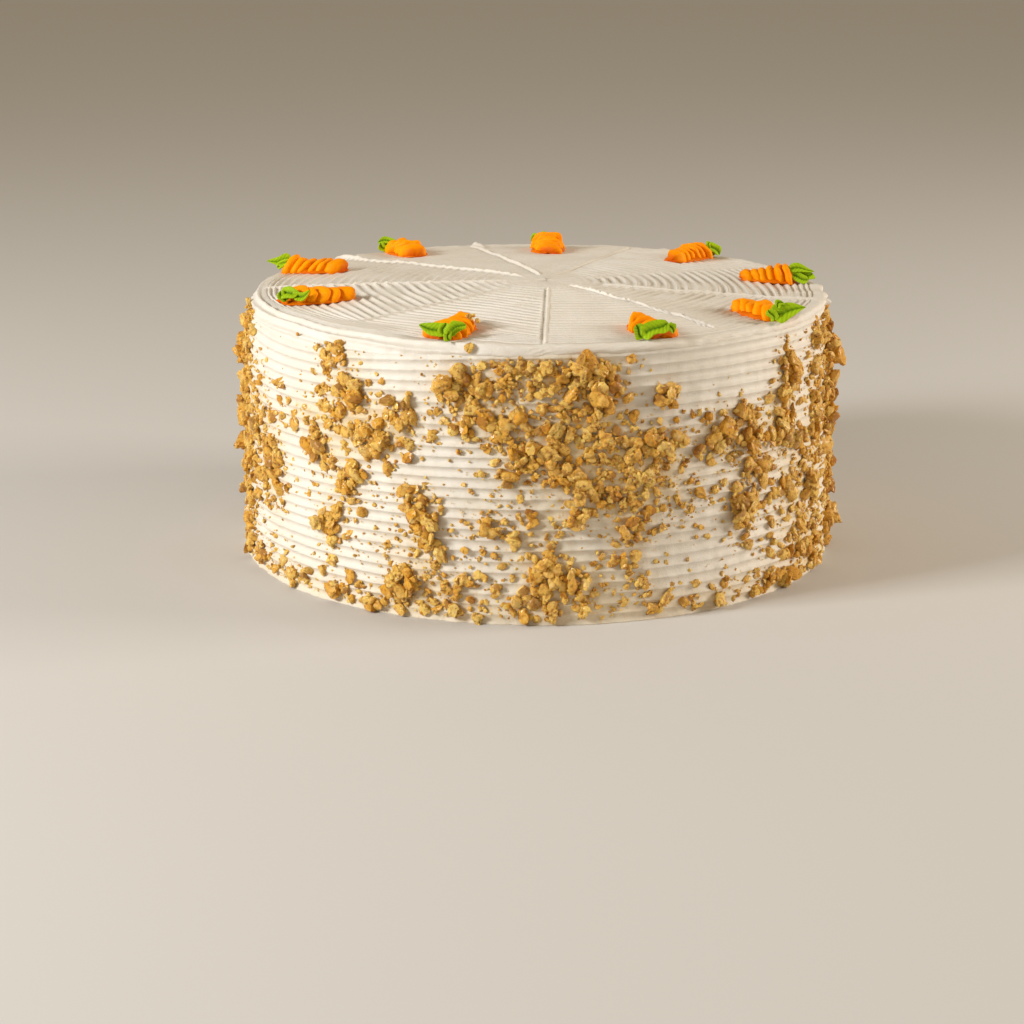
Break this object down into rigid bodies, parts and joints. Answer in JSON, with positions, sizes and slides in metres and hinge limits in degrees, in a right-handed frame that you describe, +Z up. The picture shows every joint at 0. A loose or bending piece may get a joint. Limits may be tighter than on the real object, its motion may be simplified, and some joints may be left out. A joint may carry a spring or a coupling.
{
  "type": "carrot cake",
  "caption": "Whole round layer cake in combed ivory frosting, top marked into portions each with a piped icing carrot, side pressed with chopped walnuts",
  "frame": {"origin": "centre of the flat underside of the cake", "axes": "+Z up; the front of the cake looks along -Y; +X to the right seen from the front"},
  "size_m": [0.2459, 0.2468, 0.1113],
  "materials": {
    "frosting": "soft satin whipped frosting",
    "carrot_icing": "moist satin orange icing",
    "leaf_icing": "moist satin green icing",
    "walnut": "chopped nut, rough with an oily sheen"
  },
  "bodies": {
    "root": {"frosted_cake": "frosting", "carrot_1": "carrot_icing", "carrot_2": "carrot_icing", "carrot_3": "carrot_icing", "carrot_4": "carrot_icing", "carrot_5": "carrot_icing", "carrot_6": "carrot_icing", "carrot_7": "carrot_icing", "carrot_8": "carrot_icing", "carrot_9": "carrot_icing", "leaves_1": "leaf_icing", "leaves_2": "leaf_icing", "leaves_3": "leaf_icing", "leaves_4": "leaf_icing", "leaves_5": "leaf_icing", "leaves_6": "leaf_icing", "leaves_7": "leaf_icing", "leaves_8": "leaf_icing", "leaves_9": "leaf_icing", "walnut_01": "walnut", "walnut_02": "walnut", "walnut_03": "walnut", "walnut_04": "walnut", "walnut_05": "walnut", "walnut_06": "walnut", "walnut_07": "walnut", "walnut_08": "walnut", "walnut_09": "walnut", "walnut_10": "walnut", "walnut_11": "walnut", "walnut_12": "walnut", "walnut_13": "walnut", "walnut_14": "walnut", "walnut_15": "walnut", "walnut_16": "walnut", "walnut_17": "walnut", "walnut_18": "walnut", "walnut_19": "walnut", "walnut_20": "walnut", "walnut_21": "walnut", "walnut_22": "walnut", "walnut_23": "walnut", "walnut_24": "walnut", "walnut_25": "walnut", "walnut_26": "walnut", "walnut_27": "walnut", "walnut_28": "walnut", "walnut_29": "walnut", "walnut_30": "walnut", "walnut_31": "walnut", "walnut_32": "walnut", "walnut_33": "walnut", "walnut_34": "walnut", "walnut_35": "walnut", "walnut_36": "walnut", "walnut_37": "walnut", "walnut_38": "walnut", "walnut_39": "walnut", "walnut_40": "walnut"}
  },
  "joints": []
}
